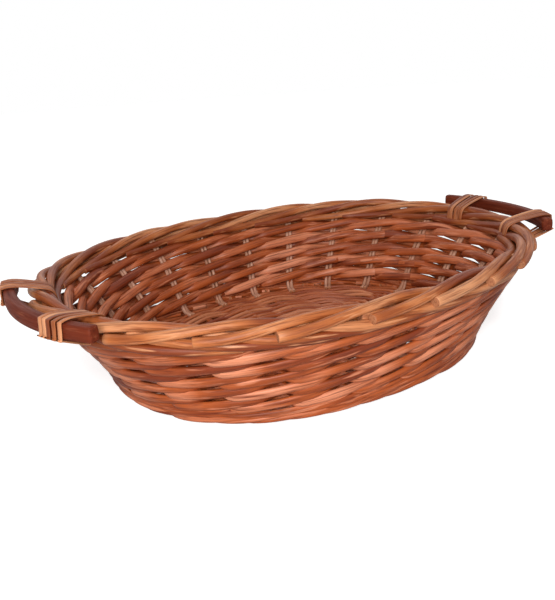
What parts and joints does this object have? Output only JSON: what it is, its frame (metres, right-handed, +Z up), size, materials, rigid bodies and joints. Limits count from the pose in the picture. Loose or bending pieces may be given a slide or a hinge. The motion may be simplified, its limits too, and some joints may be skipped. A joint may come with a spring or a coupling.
{
  "type": "oval wicker basket",
  "caption": "Shallow oval willow basket with flared woven sides, a rolled border and a lashed wooden ear handle at each end.",
  "frame": {"origin": "middle of the basket's underside, on the flat undersides of the base sticks", "axes": "+X along the length of the oval, +Z up"},
  "size_m": [0.4665, 0.3336, 0.0968],
  "materials": {
    "stake": "peeled willow, dull",
    "weaver": "buff willow, satin",
    "border": "buff willow, satin",
    "base": "buff willow, dull",
    "handle": "stained bent wood, satin",
    "skein": "split willow, satin"
  },
  "bodies": {
    "root": {"base_sticks": "base", "base_weave": "base", "base_edge_rod": "weaver", "stake_pair_01": "stake", "stake_pair_02": "stake", "stake_pair_03": "stake", "stake_pair_04": "stake", "stake_pair_05": "stake", "stake_pair_06": "stake", "stake_pair_07": "stake", "stake_pair_08": "stake", "stake_pair_09": "stake", "stake_pair_10": "stake", "stake_pair_11": "stake", "stake_pair_12": "stake", "stake_pair_13": "stake", "stake_pair_14": "stake", "stake_pair_15": "stake", "stake_pair_16": "stake", "stake_pair_17": "stake", "stake_pair_18": "stake", "stake_pair_19": "stake", "stake_pair_20": "stake", "stake_pair_21": "stake", "stake_pair_22": "stake", "wale_row_1": "weaver", "wale_row_2": "weaver", "wale_row_3": "weaver", "wale_row_4": "weaver", "wale_row_5": "weaver", "border_rod_01": "border", "border_rod_02": "border", "border_rod_03": "border", "border_rod_04": "border", "border_rod_05": "border", "border_rod_06": "border", "border_rod_07": "border", "border_rod_08": "border", "border_rod_09": "border", "border_rod_10": "border", "border_rod_11": "border", "border_rod_12": "border", "border_rod_13": "border", "border_rod_14": "border", "border_rod_15": "border", "border_rod_16": "border", "border_rod_17": "border", "border_rod_18": "border", "border_rod_19": "border", "border_rod_20": "border", "border_rod_21": "border", "border_rod_22": "border", "handle_right": "handle", "lashing_right_first": "skein", "lashing_right_second": "skein", "handle_left": "handle", "lashing_left_first": "skein", "lashing_left_second": "skein"}
  },
  "joints": []
}
